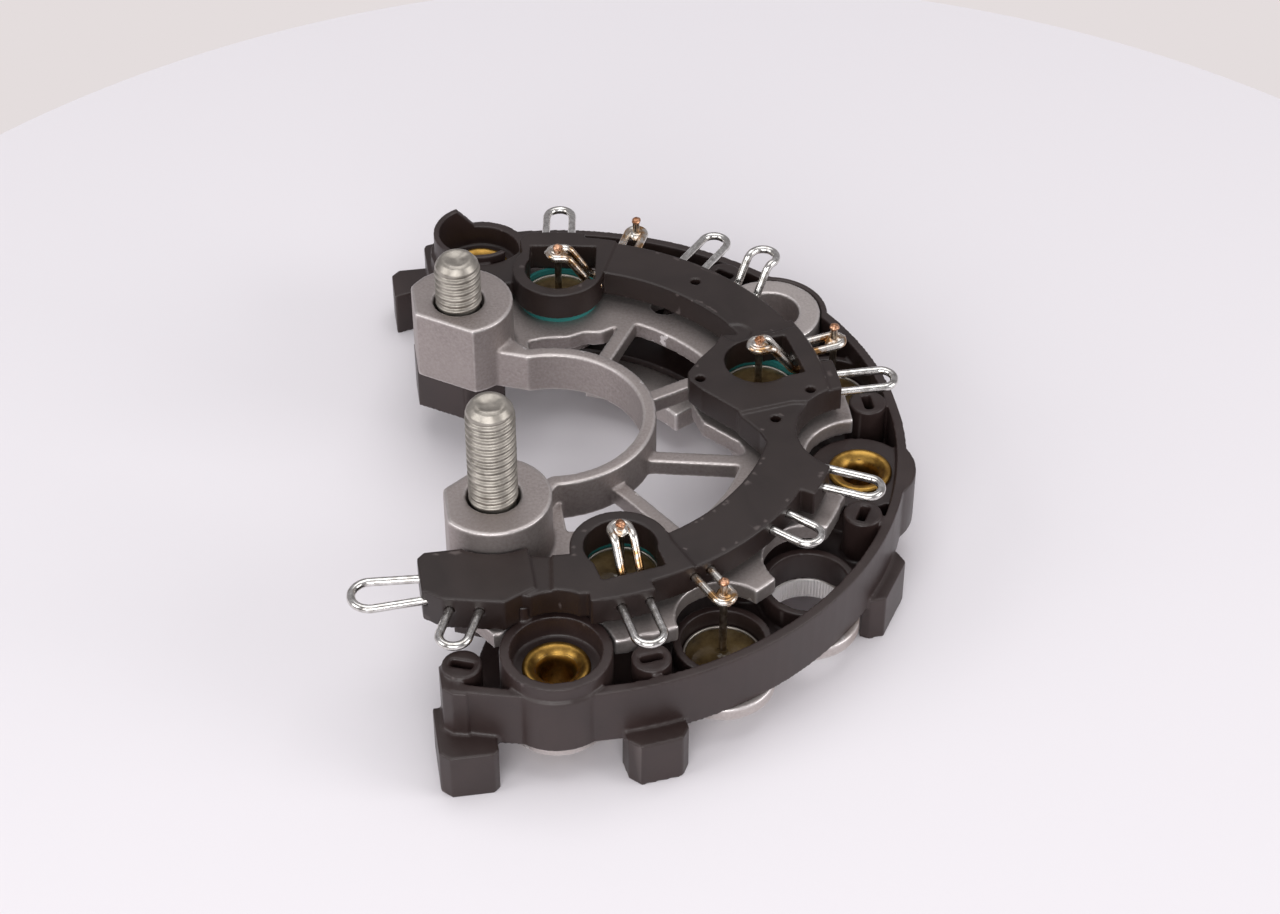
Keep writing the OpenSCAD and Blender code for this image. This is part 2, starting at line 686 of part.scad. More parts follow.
module positive_potting_front() { potting(inner_r, inner_angles[0], positive_cup_z); }
module positive_potting_right() { potting(inner_r, inner_angles[1], positive_cup_z); }
module positive_potting_rear() { potting(inner_r, inner_angles[2], positive_cup_z); }
module negative_potting_front() { potting(fixing_r, outer_front_a, negative_cup_z); }
module negative_potting_right() { potting(fixing_r, outer_right_a, negative_cup_z); }
module negative_potting_rear() { potting(fixing_r, outer_rear_a, negative_cup_z); }

module positive_lead_front() { lead(inner_r, inner_angles[0], positive_cup_z, eye_z + 1.2); }
module positive_lead_right() { lead(inner_r, inner_angles[1], positive_cup_z, eye_z + 1.2); }
module positive_lead_rear() { lead(inner_r, inner_angles[2], positive_cup_z, eye_z + 1.2); }
module negative_lead_front() { lead(fixing_r, outer_front_a, negative_cup_z, lead_top); }
module negative_lead_right() { lead(fixing_r, outer_right_a, negative_cup_z, lead_top); }
module negative_lead_rear() { lead(fixing_r, outer_rear_a, negative_cup_z, lead_top); }

module seal_ring_front() { seal_ring(inner_angles[0]); }
module seal_ring_right() { seal_ring(inner_angles[1]); }
module seal_ring_rear() { seal_ring(inner_angles[2]); }

// Open or crimped loop that stands out flat from the carrier's edge
module loop(p) {
    color(tin) seat_wire(p) hairpin(p[2], root_l + p[3], p[4]);
}

// Crimp that rises from a window's wall and closes around a positive head wire
module window_crimp(a, side) {
    color(tin) window_place(a, side)
        raised_hairpin(crimp_half, window_root_l, window_out, eye_z - wire_z, 55, 1.5);
}

// Drop-shaped loop at the open end of the C
module end_loop() {
    color(tin) translate([end_loop_x + root_l, end_loop_y, wire_z]) rotate([0, 0, 180])
        hairpin(loop_half, 10, end_splay);
}

// Loop over the ground boss, bent upward out of the way of the screw's head
module ground_loop() {
    color(tin) seat_wire(ground_at)
        raised_hairpin(loop_half, root_l, 5, 5.4, 62, 1.6);
}

module front_left_loop() { loop(front_left_at); }
module front_loop() { loop(front_at); }
module front_crimp() { loop(front_crimp_at); }
module empty_hole_loop() { loop(empty_at); }
module right_front_loop() { loop(right_front_at); }
module right_loop() { loop(right_at); }
module right_crimp() { loop(right_crimp_at); }
module rear_right_loop() { loop(rear_right_at); }
module rear_crimp() { loop(rear_crimp_at); }
module rear_loop() { loop(rear_at); }
module window_crimp_front() { window_crimp(inner_angles[0], 180); }
module window_crimp_right() { window_crimp(inner_angles[1], 180); }
module window_crimp_rear() { window_crimp(inner_angles[2], 90); }

positive_heat_sink();
negative_heat_sink();
insulating_housing();
terminal_carrier();
stud_front();
stud_rear();
rivet_front();
rivet_right();
rivet_rear();
positive_cup_front();
positive_cup_right();
positive_cup_rear();
negative_cup_front();
negative_cup_right();
negative_cup_rear();
positive_potting_front();
positive_potting_right();
positive_potting_rear();
negative_potting_front();
negative_potting_right();
negative_potting_rear();
positive_lead_front();
positive_lead_right();
positive_lead_rear();
negative_lead_front();
negative_lead_right();
negative_lead_rear();
seal_ring_front();
seal_ring_right();
seal_ring_rear();
end_loop();
front_left_loop();
front_loop();
front_crimp();
empty_hole_loop();
right_front_loop();
right_loop();
right_crimp();
ground_loop();
rear_right_loop();
rear_crimp();
rear_loop();
window_crimp_front();
window_crimp_right();
window_crimp_rear();
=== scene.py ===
"""Alternator rectifier: a C-shaped diode bridge on a pale studio table.

Two die-cast heat sinks carry press-fit diodes, a moulded insulator keeps them apart, and a
moulded carrier on top brings out the tinned wire loops. Sizes in millimetres become metres
through MM. The frame is the CAD model's: the arc's centre at the origin, +X away from the
open side of the C, and the feet on z = 0.
"""
import math

import bmesh
import bpy
from mathutils import Matrix, Vector, noise


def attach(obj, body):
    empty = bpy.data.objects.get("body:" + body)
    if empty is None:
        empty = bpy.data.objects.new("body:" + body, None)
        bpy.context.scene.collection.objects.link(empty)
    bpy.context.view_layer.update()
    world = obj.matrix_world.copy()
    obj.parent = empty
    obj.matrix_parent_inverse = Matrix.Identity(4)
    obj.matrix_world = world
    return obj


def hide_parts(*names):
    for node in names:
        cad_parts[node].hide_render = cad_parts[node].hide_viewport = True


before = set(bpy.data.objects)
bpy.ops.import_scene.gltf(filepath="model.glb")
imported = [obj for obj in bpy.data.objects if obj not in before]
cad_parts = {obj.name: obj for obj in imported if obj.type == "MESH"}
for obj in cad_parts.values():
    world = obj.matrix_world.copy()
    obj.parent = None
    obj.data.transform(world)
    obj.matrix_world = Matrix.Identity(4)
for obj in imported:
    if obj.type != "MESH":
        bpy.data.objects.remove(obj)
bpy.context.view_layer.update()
MM = 0.001

# Camera and studio. A 35 mm camera on a stand looks down on the white table from the front,
# through a 79 mm lens. The table is a white disc, 38 cm across, whose far edge crosses the top
# of the picture. Soft boxes stand in front, on both sides and overhead, the front one strongest.
camera = bpy.data.objects.new("camera", bpy.data.cameras.new("camera"))
camera.data.sensor_width = 36
camera.data.lens = 78.75
camera.location = (-0.0409, -0.3544, 0.3238)
camera.rotation_euler = (math.radians(49), 0, math.radians(-9))
bpy.context.scene.collection.objects.link(camera)
bpy.context.scene.camera = camera
bpy.context.scene.view_settings.view_transform = "Standard"


def linear(colour):
    """sRGB hex to the linear RGBA that a shader takes."""
    parts = [int(colour[i:i + 2], 16) / 255 for i in (1, 3, 5)]
    return [c / 12.92 if c < 0.04045 else ((c + 0.055) / 1.055) ** 2.4 for c in parts] + [1]


def add(tree, kind, settings=None, **links):
    """Adds a node, sets its properties and links or sets its inputs by name."""
    node = tree.nodes.new("ShaderNode" + kind)
    for key, value in (settings or {}).items():
        setattr(node, key, value)
    for key, value in links.items():
        socket = node.inputs[int(key[1:]) if key[1:].isdigit() else key.replace("_", " ")]
        if isinstance(value, bpy.types.NodeSocket):
            tree.links.new(value, socket)
        else:
            socket.default_value = value
    return node


def new_material(name):
    """An empty node material with its output, and the tree to build in."""
    material = bpy.data.materials.new(name)
    material.use_nodes = True
    tree = material.node_tree
    tree.nodes.clear()
    return material, tree


def finish_material(tree, shader):
    output = add(tree, "OutputMaterial")
    tree.links.new(shader, output.inputs["Surface"])


laminate, tree = new_material("white_laminate_table")
base = add(tree, "BsdfPrincipled", Base_Color=linear("#e6e2e6"), Roughness=0.55)
finish_material(tree, base.outputs["BSDF"])

bm = bmesh.new()
bmesh.ops.create_circle(bm, cap_ends=True, segments=256, radius=0.1916,
                        matrix=Matrix.Translation((0.0201, -0.0204, 0)))
mesh = bpy.data.meshes.new("table")
bm.to_mesh(mesh)
bm.free()
mesh.materials.append(laminate)
table = bpy.data.objects.new("table", mesh)
bpy.context.scene.collection.objects.link(table)

lamps = [
    ("overhead_box", (0.05, 0.15, 0.95), (0.8, 0.8), 3.7),
    ("front_box", (-0.25, -0.95, 0.5), (0.9, 0.6), 7.4),
    ("left_box", (-0.85, -0.2, 0.45), (0.5, 0.5), 2.7),
    ("right_box", (0.85, -0.35, 0.4), (0.5, 0.5), 3.0),
]
for name, place, size, power in lamps:
    light = bpy.data.lights.new(name, "AREA")
    light.shape = "RECTANGLE"
    light.size, light.size_y = size
    light.energy = power
    lamp = bpy.data.objects.new(name, light)
    lamp.location = place
    lamp.rotation_euler = (Vector((0.01, 0, 0.01)) - Vector(place)).to_track_quat("-Z", "Y").to_euler()
    bpy.context.scene.collection.objects.link(lamp)

world = bpy.data.worlds.new("studio")
bpy.context.scene.world = world
world.use_nodes = True
tree = world.node_tree
tree.nodes.clear()
path = add(tree, "LightPath")
dim = add(tree, "Background", Color=linear("#e9e6ea"), Strength=0.42)
wall = add(tree, "Background", Color=linear("#e4dddd"), Strength=1.0)
mixed = add(tree, "MixShader", _0=path.outputs["Is Camera Ray"], _1=dim.outputs[0], _2=wall.outputs[0])
output = add(tree, "OutputWorld")
tree.links.new(mixed.outputs[0], output.inputs["Surface"])


# Negative heat sink. A die-cast aluminium plate under the insulator, bare and pale, with
# four holes for the outer diodes and a boss that grounds it to the alternator's frame.
# Casting leaves soft edges, so the solid is remeshed and its corners are relaxed.
def soft_casting(node, name, voxel, rounds, faces):
    """A copy of a CAD node with its sharp corners relaxed, which stands in for the node."""
    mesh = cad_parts[node].data.copy()
    mesh.materials.clear()
    bm = bmesh.new()
    bm.from_mesh(mesh)
    bmesh.ops.remove_doubles(bm, verts=bm.verts, dist=1e-6)
    bm.to_mesh(mesh)
    bm.free()
    shape = bpy.data.objects.new(name, mesh)
    bpy.context.scene.collection.objects.link(shape)
    remesh = shape.modifiers.new("remesh", "REMESH")
    remesh.mode = "VOXEL"
    remesh.voxel_size = voxel * MM
    remesh.use_smooth_shade = True
    relax = shape.modifiers.new("relax", "SMOOTH")
    relax.factor = 0.5
    relax.iterations = rounds
    bpy.context.view_layer.update()
    count = len(shape.evaluated_get(bpy.context.evaluated_depsgraph_get()).data.polygons) * 2
    if count > faces:
        thin = shape.modifiers.new("thin", "DECIMATE")
        thin.ratio = faces / count
    bpy.context.view_layer.update()
    done = bpy.data.meshes.new_from_object(
        shape.evaluated_get(bpy.context.evaluated_depsgraph_get()))
    shape.modifiers.clear()
    shape.data = done
    done.polygons.foreach_set("use_smooth", [True] * len(done.polygons))
    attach(shape, "root")
    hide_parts(node)
    return shape


def paint(shape, material):
    shape.data.materials.clear()
    shape.data.materials.append(material)
    return shape


def cast_aluminium(name, face, light, dark, grain_mm, stain=None):
    """Die-cast aluminium, tumbled: a fine grey speckle, dull faces and burnished edges, whose
    near-white colour is partly wear and partly painted highlight.
    """
    material, tree = new_material(name)
    place = add(tree, "TexCoord").outputs["Object"]
    grain = add(tree, "TexNoise", Vector=place, Scale=1 / (grain_mm * MM), Detail=3, Roughness=0.6)
    cloud = add(tree, "TexNoise", Vector=place, Scale=1 / (9 * MM), Detail=4, Roughness=0.55)
    pits = add(tree, "TexVoronoi", Vector=place, Scale=1 / (1.3 * MM))
    speck = add(tree, "ValToRGB", Fac=grain.outputs[0])
    speck.color_ramp.elements[0].position = 0.3
    speck.color_ramp.elements[0].color = linear(dark)
    speck.color_ramp.elements[1].position = 0.7
    speck.color_ramp.elements[1].color = linear(face)
    cloudy = add(tree, "Mix", {"data_type": "RGBA"}, Factor=cloud.outputs[0],
                 _6=speck.outputs[0], _7=linear(face))
    edge = add(tree, "NewGeometry").outputs["Pointiness"]
    # Pale edges: partly burnish from the tumbling, partly painted highlight; the near-white light
    # colour stands in for edge highlights.
    edge_wear_and_highlight = add(tree, "MapRange", Value=edge, From_Min=0.51, From_Max=0.57)
    final = add(tree, "Mix", {"data_type": "RGBA"}, Factor=edge_wear_and_highlight.outputs[0],
                _6=cloudy.outputs[2], _7=linear(light))
    if stain:
        spot, reach, tint = stain
        away = add(tree, "VectorMath", {"operation": "DISTANCE"}, _0=place, _1=spot)
        near = add(tree, "MapRange", Value=away.outputs["Value"], From_Min=reach,
                   From_Max=0.4 * reach)
        blot = add(tree, "MapRange", Value=cloud.outputs[0], From_Min=0.4, From_Max=0.6)
        patch = add(tree, "Math", {"operation": "MULTIPLY"}, _0=near.outputs[0],
                    _1=blot.outputs[0])
        final = add(tree, "Mix", {"data_type": "RGBA"}, Factor=patch.outputs[0],
                    _6=final.outputs[2], _7=linear(tint))
    dull = add(tree, "MapRange", Value=edge_wear_and_highlight.outputs[0], To_Min=0.5, To_Max=0.3)
    height = add(tree, "Math", {"operation": "MULTIPLY_ADD"}, _0=pits.outputs["Distance"],
                 _1=0.25, _2=grain.outputs[0])
    bump = add(tree, "Bump", Height=height.outputs[0], Strength=0.35, Distance=0.05 * MM)
    shader = add(tree, "BsdfPrincipled", Base_Color=final.outputs[2], Metallic=0.85,
                 Roughness=dull.outputs[0], Normal=bump.outputs[0])
    finish_material(tree, shader.outputs[0])
    return material


# The rim below the empty hole carries a rusty brown stain.
rim = Vector((59 * math.cos(math.radians(-38)), 59 * math.sin(math.radians(-38)), 6)) * MM
# The near-white third colour is the edge colour, partly burnish and partly painted highlight.
sink_metal = cast_aluminium("pale_die_cast_aluminium", "#c6bebb", "#f2edeb", "#a39a97", 0.45,
                            (rim, 9 * MM, "#6f5340"))
paint(soft_casting("negative_heat_sink", "negative_heat_sink_casting", 0.3, 4, 90000),
      sink_metal)

# Knurled wall of the hole without a diode. The press fit's splines stay in the aluminium as
# fine upright teeth. They are painted near-white, brighter than the cast face around them: painted
# light standing in for the light that reaches them through the open hole.
angle = math.radians(-45)
centre = Vector((52 * math.cos(angle), 52 * math.sin(angle), 0)) * MM
teeth, crest, root, low, high = 76, 6.22, 6.38, 4.7, 8.4
bm = bmesh.new()
rings = []
for z in (low, low + 0.25, high - 0.25, high):
    ring = []
    for i in range(teeth * 2):
        flat = z in (low, high)
        r = root if flat or i % 2 else crest
        a = math.pi * i / teeth
        ring.append(bm.verts.new(centre + Vector((r * math.cos(a), r * math.sin(a), z)) * MM))
    rings.append(ring)
for lower, upper in zip(rings, rings[1:]):
    for i in range(teeth * 2):
        j = (i + 1) % (teeth * 2)
        bm.faces.new((lower[j], lower[i], upper[i], upper[j]))
mesh = bpy.data.meshes.new("empty_hole_knurl")
bm.to_mesh(mesh)
bm.free()
knurl = bpy.data.objects.new("empty_hole_knurl", mesh)
bpy.context.scene.collection.objects.link(knurl)
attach(knurl, "root")
knurl_metal, tree = new_material("knurl_painted_bright_aluminium")
# Near-white base colour is painted light for the light reaching the teeth through the hole.
shader = add(tree, "BsdfPrincipled", Base_Color=linear("#f1eeec"), Metallic=0.4, Roughness=0.4)
finish_material(tree, shader.outputs[0])
paint(knurl, knurl_metal)


# Insulating housing. Glass-filled polyamide, injection moulded in one piece: floor, outer
# wall, rivet wells, slotted lead tubes and feet. The skin is dark brown-black and satin,
# a little paler in patches that follow the flow marks.
def moulded_polyamide(name, face, pale, grain_mm):
    """Glass-filled polyamide: a satin skin with faint flow marks and a fine orange peel."""
    material, tree = new_material(name)
    place = add(tree, "TexCoord").outputs["Object"]
    peel = add(tree, "TexNoise", Vector=place, Scale=1 / (grain_mm * MM), Detail=4, Roughness=0.6)
    flow = add(tree, "TexNoise", Vector=place, Scale=1 / (14 * MM), Detail=5, Roughness=0.6,
               Distortion=0.8)
    tint = add(tree, "MapRange", Value=flow.outputs[0], From_Min=0.35, From_Max=0.7)
    skin = add(tree, "Mix", {"data_type": "RGBA"}, Factor=tint.outputs[0],
               _6=linear(face), _7=linear(pale))
    edge = add(tree, "NewGeometry").outputs["Pointiness"]
    edge_wear_and_highlight = add(tree, "MapRange", Value=edge, From_Min=0.56, From_Max=0.66, To_Max=0.5)
    final = add(tree, "Mix", {"data_type": "RGBA"}, Factor=edge_wear_and_highlight.outputs[0],
                _6=skin.outputs[2], _7=linear("#6a605e"))
    gloss = add(tree, "MapRange", Value=flow.outputs[0], From_Min=0.3, From_Max=0.75,
                To_Min=0.36, To_Max=0.5)
    bump = add(tree, "Bump", Height=peel.outputs[0], Strength=0.25, Distance=0.04 * MM)
    shader = add(tree, "BsdfPrincipled", Base_Color=final.outputs[2], Roughness=gloss.outputs[0],
                 IOR=1.53, Normal=bump.outputs[0])
    finish_material(tree, shader.outputs[0])
    return material


housing_plastic = moulded_polyamide("housing_polyamide", "#271b19", "#322523", 0.5)
paint(soft_casting("insulating_housing", "insulating_housing_moulding", 0.25, 3, 180000),
      housing_plastic)


# Tubular rivets. Drawn brass, flared over the plastic seat into a rolled collar with a
# dished throat. The press leaves the rolled face bright and the throat dull; here one mottled
# brass covers both alike.
def turned(name, profile, centre, steps=96):
    """A solid of revolution about the vertical line through centre, from (r, z) points."""
    bm = bmesh.new()
    rings = []
    for r, z in profile:
        if r == 0:
            rings.append([bm.verts.new(centre + Vector((0, 0, z)) * MM)])
            continue
        ring = [2 * math.pi * i / steps for i in range(steps)]
        rings.append([bm.verts.new(centre + Vector((r * math.cos(a), r * math.sin(a), z)) * MM)
                      for a in ring])
    for lower, upper in zip(rings, rings[1:]):
        for i in range(steps):
            j = (i + 1) % steps
            corners = [lower[i % len(lower)], lower[j % len(lower)],
                       upper[j % len(upper)], upper[i % len(upper)]]
            bm.faces.new(list(dict.fromkeys(corners)))
    bmesh.ops.recalc_face_normals(bm, faces=bm.faces)
    mesh = bpy.data.meshes.new(name)
    bm.to_mesh(mesh)
    bm.free()
    mesh.polygons.foreach_set("use_smooth", [True] * len(mesh.polygons))
    shape = bpy.data.objects.new(name, mesh)
    bpy.context.scene.collection.objects.link(shape)
    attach(shape, "root")
    return shape


def polar(r, degrees):
    a = math.radians(degrees)
    return Vector((r * math.cos(a), r * math.sin(a), 0)) * MM


brass, tree = new_material("drawn_brass")
place = add(tree, "TexCoord").outputs["Object"]
smear = add(tree, "TexNoise", Vector=place, Scale=1 / (2.5 * MM), Detail=5, Roughness=0.65)
tone = add(tree, "ValToRGB", Fac=smear.outputs[0])
tone.color_ramp.elements[0].position = 0.3
tone.color_ramp.elements[0].color = linear("#6b4c22")
tone.color_ramp.elements[1].position = 0.65
tone.color_ramp.elements[1].color = linear("#b8914a")
bump = add(tree, "Bump", Height=smear.outputs[0], Strength=0.15, Distance=0.05 * MM)
shader = add(tree, "BsdfPrincipled", Base_Color=tone.outputs[0], Metallic=1, Roughness=0.36,
             Normal=bump.outputs[0])
finish_material(tree, shader.outputs[0])

rivet_profile = [
    (2.75, 3.9), (4.4, 3.9), (4.6, 4.1), (4.55, 4.5), (3.25, 4.5), (3.25, 15.95), (5.1, 16.0),
    (5.33, 16.12), (5.35, 16.35), (5.22, 16.6), (4.95, 16.74), (4.6, 16.76), (4.2, 16.62),
    (3.8, 16.34), (3.4, 16.0), (3.1, 15.6), (2.9, 15.1), (2.78, 14.5), (2.75, 13.5), (2.75, 3.9)]
for side, degrees in (("front", -96.6), ("right", -15.9), ("rear", 96.6)):
    rivet = turned(f"rivet_{side}_brass", rivet_profile, polar(52, degrees))
    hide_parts(f"rivet_{side}")
    paint(rivet, brass)

# Press-fit diodes. Each is a nickel-plated copper cup with a potted silicon die and an
# upright head wire. The resin is a dark olive epoxy that climbs the cup and the wire in a
# thin meniscus, glossy, with a few bubbles at its rim.
plating, tree = new_material("nickel_plated_copper")
place = add(tree, "TexCoord").outputs["Object"]
smear = add(tree, "TexNoise", Vector=place, Scale=1 / (1.5 * MM), Detail=4)
rough = add(tree, "MapRange", Value=smear.outputs[0], To_Min=0.25, To_Max=0.5)
shader = add(tree, "BsdfPrincipled", Base_Color=linear("#bdb6ad"), Metallic=1,
             Roughness=rough.outputs[0])
finish_material(tree, shader.outputs[0])

epoxy, tree = new_material("olive_potting_epoxy")
place = add(tree, "TexCoord").outputs["Object"]
cloud = add(tree, "TexNoise", Vector=place, Scale=1 / (3 * MM), Detail=5, Roughness=0.6)
bubbles = add(tree, "TexVoronoi", Vector=place, Scale=1 / (0.9 * MM))
tone = add(tree, "ValToRGB", Fac=cloud.outputs[0])
tone.color_ramp.elements[0].position = 0.35
tone.color_ramp.elements[0].color = linear("#44351f")
tone.color_ramp.elements[1].position = 0.7
tone.color_ramp.elements[1].color = linear("#6b5a3c")
pock = add(tree, "MapRange", Value=bubbles.outputs["Distance"], From_Min=0.0, From_Max=0.25)
bump = add(tree, "Bump", Height=pock.outputs[0], Strength=0.12, Distance=0.06 * MM)
shader = add(tree, "BsdfPrincipled", Base_Color=tone.outputs[0], Roughness=0.12, IOR=1.55,
             Normal=bump.outputs[0])
finish_material(tree, shader.outputs[0])

head_wire, tree = new_material("heat_tinted_copper_wire")
place = add(tree, "TexCoord").outputs["Object"]
cloud = add(tree, "TexNoise", Vector=place, Scale=1 / (1.2 * MM), Detail=4)
tone = add(tree, "ValToRGB", Fac=cloud.outputs[0])
tone.color_ramp.elements[0].position = 0.35
tone.color_ramp.elements[0].color = linear("#8a7a68")
tone.color_ramp.elements[1].position = 0.7
tone.color_ramp.elements[1].color = linear("#c9bcae")
shader = add(tree, "BsdfPrincipled", Base_Color=tone.outputs[0], Metallic=1, Roughness=0.3)
finish_material(tree, shader.outputs[0])

diodes = [
    ("positive", "front", 36.8, -80, 13.4), ("positive", "right", 36.8, 8.5, 13.4),
    ("positive", "rear", 36.8, 80, 13.4), ("negative", "front", 52, -66.4, 4.5),
    ("negative", "right", 52, 12.8, 4.5), ("negative", "rear", 52, 65, 4.5)]
for row, side, radius, degrees, foot in diodes:
    centre = polar(radius, degrees)
    cup = turned(f"{row}_cup_{side}_plated", [
        (0, foot), (5.9, foot), (6.25, foot + 0.12), (6.37, foot + 0.5), (6.37, foot + 6.45),
        (6.3, foot + 6.58), (6.05, foot + 6.6), (5.9, foot + 6.52), (5.88, foot + 6.3),
        (5.88, foot + 2.6), (0, foot + 2.6)], centre)
    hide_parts(f"{row}_cup_{side}")
    paint(cup, plating)
    resin = turned(f"{row}_potting_{side}_resin", [
        (0.64, foot + 2.6), (5.85, foot + 2.6), (5.85, foot + 6.4), (5.7, foot + 6.5),
        (5.3, foot + 6.62), (4.6, foot + 6.75), (3.6, foot + 6.85), (2.4, foot + 6.9),
        (1.5, foot + 6.93), (1.0, foot + 7.02), (0.75, foot + 7.3), (0.64, foot + 7.7)], centre)
    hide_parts(f"{row}_potting_{side}")
    paint(resin, epoxy)
    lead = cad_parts[f"{row}_lead_{side}"]
    lead.data.materials.clear()
    lead.data.materials.append(head_wire)

# Positive heat sink. One aluminium die casting: the band over the insulator, the round hub
# with its spokes and the two stud bosses. Its edges are rounder than the other's. The
# near-white colour along the edges is partly wear from the tumbling and partly painted
# highlight.
plate_metal = cast_aluminium("tumbled_die_cast_aluminium", "#aaa19e", "#f0eae8", "#857b79", 0.5)
paint(soft_casting("positive_heat_sink", "positive_heat_sink_casting", 0.3, 8, 190000),
      plate_metal)

# Seal rings. Teal silicone rings round the tops of the inner diodes, laid on the plate and
# pressed down by the carrier.
silicone, tree = new_material("teal_silicone")
place = add(tree, "TexCoord").outputs["Object"]
cloud = add(tree, "TexNoise", Vector=place, Scale=1 / (2 * MM), Detail=3)
rough = add(tree, "MapRange", Value=cloud.outputs[0], To_Min=0.35, To_Max=0.6)
shader = add(tree, "BsdfPrincipled", Base_Color=linear("#2c7773"), Roughness=rough.outputs[0],
             IOR=1.41)
finish_material(tree, shader.outputs[0])
for side in ("front", "right", "rear"):
    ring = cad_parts[f"seal_ring_{side}"]
    ring.data.materials.clear()
    ring.data.materials.append(silicone)

# Threaded studs. Cold-formed M8 steel, zinc plated, with a rolled 1.25 mm thread and a
# short blunt point. Shearing leaves the end rough and slightly dished.
zinc, tree = new_material("zinc_plated_steel")
place = add(tree, "TexCoord").outputs["Object"]
cloud = add(tree, "TexNoise", Vector=place, Scale=1 / (2.2 * MM), Detail=6, Roughness=0.65)
tone = add(tree, "ValToRGB", Fac=cloud.outputs[0])
tone.color_ramp.elements[0].position = 0.3
tone.color_ramp.elements[0].color = linear("#8b857d")
tone.color_ramp.elements[1].position = 0.7
tone.color_ramp.elements[1].color = linear("#bdb7ae")
rough = add(tree, "MapRange", Value=cloud.outputs[0], To_Min=0.32, To_Max=0.55)
bump = add(tree, "Bump", Height=cloud.outputs[0], Strength=0.2, Distance=0.05 * MM)
shader = add(tree, "BsdfPrincipled", Base_Color=tone.outputs[0], Metallic=0.9,
             Roughness=rough.outputs[0], Normal=bump.outputs[0])
finish_material(tree, shader.outputs[0])

pitch, crest, root, start, point = 1.25, 3.95, 3.5, 16.2, 2.75
for side, y, top in (("front", -25.35, 48.5), ("rear", 25.35, 38.5)):
    steps, rows = 72, int((top - start) / 0.1)
    bm = bmesh.new()
    rings = []
    for k in range(rows + 1):
        z = start + (top - start) * k / rows
        ring = []
        for i in range(steps):
            a = 2 * math.pi * i / steps
            phase = (z / pitch - i / steps) % 1
            wave = 0.5 + 0.5 * math.cos(2 * math.pi * phase)
            r = root + (crest - root) * min(1, 1.25 * wave)
            if z < 19.4:
                r = 4.1
            elif z < 29.2:
                r = 3.6
            depth = top - z
            limit = point + min(depth, 1.2) * 0.75 + max(depth - 1.2, 0) * 0.25
            if depth < 0.3:
                limit -= (0.3 - depth) * 0.9
            r = min(r, limit) + 0.03 * noise.noise((3 * math.cos(a), 3 * math.sin(a), z * 1.3))
            ring.append(bm.verts.new((-12.2 * MM + r * math.cos(a) * MM,
                                      y * MM + r * math.sin(a) * MM, z * MM)))
        rings.append(ring)
    for scale, drop in ((0.8, 0.05), (0.55, 0.28), (0.25, 0.4)):
        ring = []
        for i in range(steps):
            a = 2 * math.pi * i / steps
            rough_z = 0.16 * noise.noise((2 * scale * math.cos(a) + y, 2 * scale * math.sin(a), 0))
            r = 2.45 * scale
            ring.append(bm.verts.new((-12.2 * MM + r * math.cos(a) * MM,
                                      y * MM + r * math.sin(a) * MM, (top - drop + rough_z) * MM)))
        rings.append(ring)
    for lower, upper in zip(rings, rings[1:]):
        for i in range(steps):
            j = (i + 1) % steps
            bm.faces.new((lower[i], lower[j], upper[j], upper[i]))
    bm.faces.new(rings[-1])
    bm.faces.new(list(reversed(rings[0])))
    mesh = bpy.data.meshes.new(f"stud_{side}_threaded")
    bm.to_mesh(mesh)
    bm.free()
    mesh.polygons.foreach_set("use_smooth", [True] * len(mesh.polygons))
    stud = bpy.data.objects.new(f"stud_{side}_threaded", mesh)
    bpy.context.scene.collection.objects.link(stud)
    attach(stud, "root")
    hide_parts(f"stud_{side}")
    paint(stud, zinc)

# Terminal carrier. The same polyamide, moulded over the conductors in one ring segment, with
# a window over each inner diode. Its top face is smoother and darker than the housing.
carrier_plastic = moulded_polyamide("carrier_polyamide", "#1e1310", "#271b18", 0.4)
paint(soft_casting("terminal_carrier", "terminal_carrier_moulding", 0.22, 4, 150000),
      carrier_plastic)

# Wire loops and crimps. Tinned copper wire, bent double and moulded into the carrier: open
# loops for the stator leads, and crimps that are closed and welded round the diodes' head
# wires. Welding tints the tin golden brown and leaves bare copper at the wire's tip.
tinned, tree = new_material("bright_tinned_wire")
place = add(tree, "TexCoord").outputs["Object"]
cloud = add(tree, "TexNoise", Vector=place, Scale=1 / (1.1 * MM), Detail=5, Roughness=0.6)
tone = add(tree, "ValToRGB", Fac=cloud.outputs[0])
tone.color_ramp.elements[0].position = 0.3
tone.color_ramp.elements[0].color = linear("#a9a5a0")
tone.color_ramp.elements[1].position = 0.6
tone.color_ramp.elements[1].color = linear("#e4e2df")
rough = add(tree, "MapRange", Value=cloud.outputs[0], To_Min=0.12, To_Max=0.3)
bump = add(tree, "Bump", Height=cloud.outputs[0], Strength=0.25, Distance=0.05 * MM)
shader = add(tree, "BsdfPrincipled", Base_Color=tone.outputs[0], Metallic=1,
             Roughness=rough.outputs[0], Normal=bump.outputs[0])
finish_material(tree, shader.outputs[0])
heated, tree = new_material("heat_tinted_tin")
place = add(tree, "TexCoord").outputs["Object"]
cloud = add(tree, "TexNoise", Vector=place, Scale=1 / (2.6 * MM), Detail=5, Roughness=0.6)
tone = add(tree, "ValToRGB", Fac=cloud.outputs[0])
tone.color_ramp.elements[0].position = 0.42
tone.color_ramp.elements[0].color = linear("#a98256")
tone.color_ramp.elements[1].position = 0.56
tone.color_ramp.elements[1].color = linear("#dcd8d2")
rough = add(tree, "MapRange", Value=cloud.outputs[0], To_Min=0.14, To_Max=0.36)
shader = add(tree, "BsdfPrincipled", Base_Color=tone.outputs[0], Metallic=1,
             Roughness=rough.outputs[0])
finish_material(tree, shader.outputs[0])

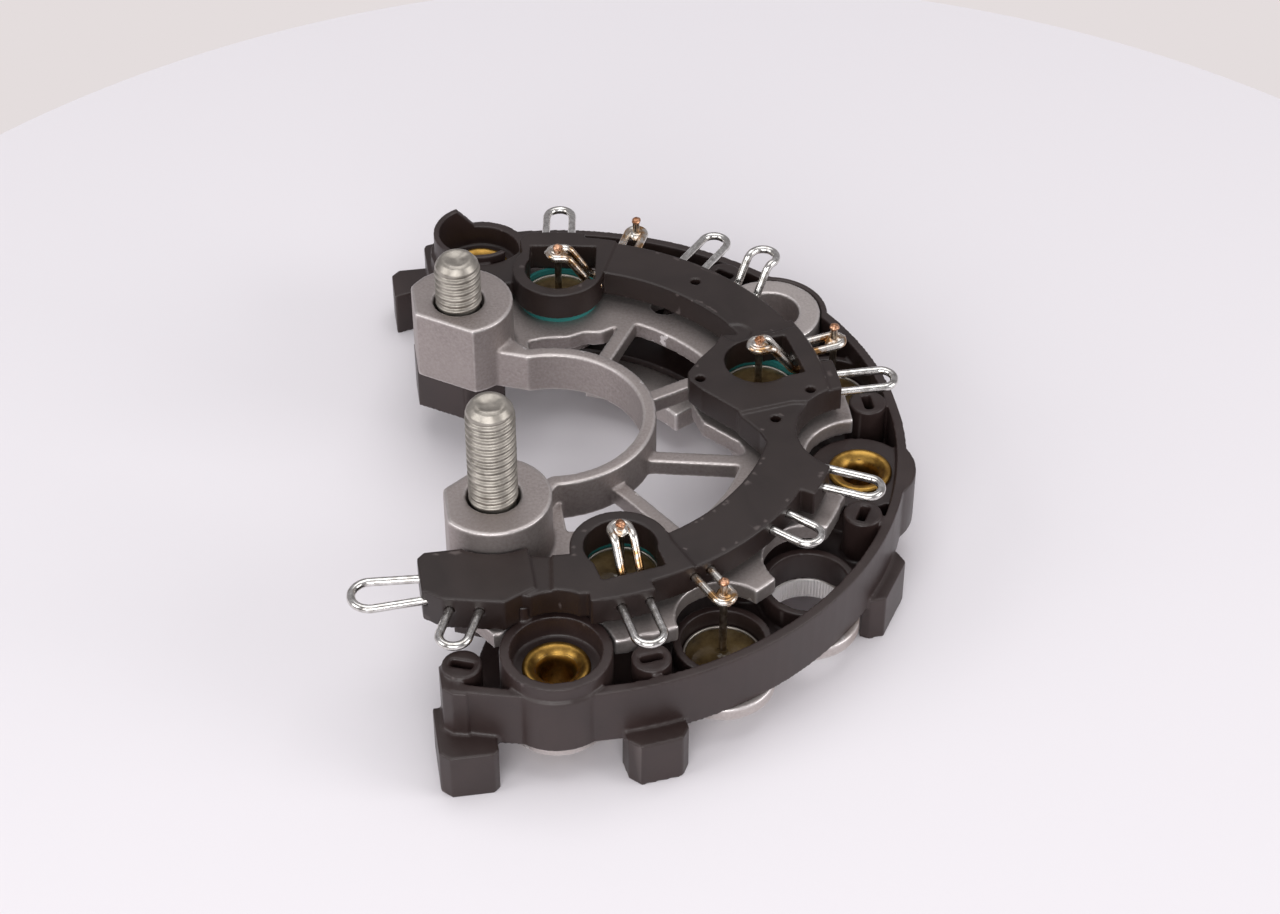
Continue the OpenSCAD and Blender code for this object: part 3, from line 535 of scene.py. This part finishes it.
weld, tree = new_material("welded_copper")
place = add(tree, "TexCoord").outputs["Object"]
cloud = add(tree, "TexNoise", Vector=place, Scale=1 / (0.8 * MM), Detail=5, Roughness=0.6)
tone = add(tree, "ValToRGB", Fac=cloud.outputs[0])
tone.color_ramp.elements[0].position = 0.38
tone.color_ramp.elements[0].color = linear("#8a5a3c")
tone.color_ramp.elements[1].position = 0.62
tone.color_ramp.elements[1].color = linear("#d9a98a")
bump = add(tree, "Bump", Height=cloud.outputs[0], Strength=0.5, Distance=0.1 * MM)
shader = add(tree, "BsdfPrincipled", Base_Color=tone.outputs[0], Metallic=0.9, Roughness=0.38,
             Normal=bump.outputs[0])
finish_material(tree, shader.outputs[0])

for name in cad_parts:
    if name.endswith("_loop") or "crimp" in name:
        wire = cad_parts[name]
        wire.data.materials.clear()
        wire.data.materials.append(heated if "crimp" in name else tinned)


def lump(name, centre, size, turn, seed, material):
    """A squeezed lump of weld metal about a head wire, with an uneven skin."""
    bm = bmesh.new()
    bmesh.ops.create_icosphere(bm, subdivisions=4, radius=1)
    for vert in bm.verts:
        swell = 1 + 0.22 * noise.noise(vert.co * 1.4 + Vector((seed, 0, 0)))
        vert.co = Vector((vert.co.x * size[0], vert.co.y * size[1], vert.co.z * size[2])) * swell * MM
    bmesh.ops.transform(bm, verts=bm.verts, matrix=Matrix.Translation(centre)
                        @ Matrix.Rotation(math.radians(turn), 4, "Z"))
    mesh = bpy.data.meshes.new(name)
    bm.to_mesh(mesh)
    bm.free()
    mesh.polygons.foreach_set("use_smooth", [True] * len(mesh.polygons))
    shape = bpy.data.objects.new(name, mesh)
    bpy.context.scene.collection.objects.link(shape)
    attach(shape, "root")
    return paint(shape, material)


welds = [
    ("window_front", 36.8, -80, 29.2, 180), ("window_right", 36.8, 8.5, 29.2, 180),
    ("window_rear", 36.8, 80, 29.2, 90), ("front", 52, -66.4, 23.6, 0),
    ("right", 52, 12.8, 23.6, 0), ("rear", 52, 65, 23.6, 0)]
for seed, (name, radius, degrees, height, side) in enumerate(welds):
    turn = degrees + side
    along = Vector((math.cos(math.radians(turn)), math.sin(math.radians(turn)), 0))
    middle = polar(radius, degrees) + Vector((0, 0, height * MM))
    lump(f"{name}_squeeze", middle + along * 0.3 * MM, (1.9, 1.45, 0.8), turn, seed, heated)
    top = height + (1.25 if side else 3.0)
    lump(f"{name}_weld_tip", polar(radius, degrees) + Vector((0, 0, top * MM)),
         (0.85, 0.8, 0.6), turn, seed + 9, weld)
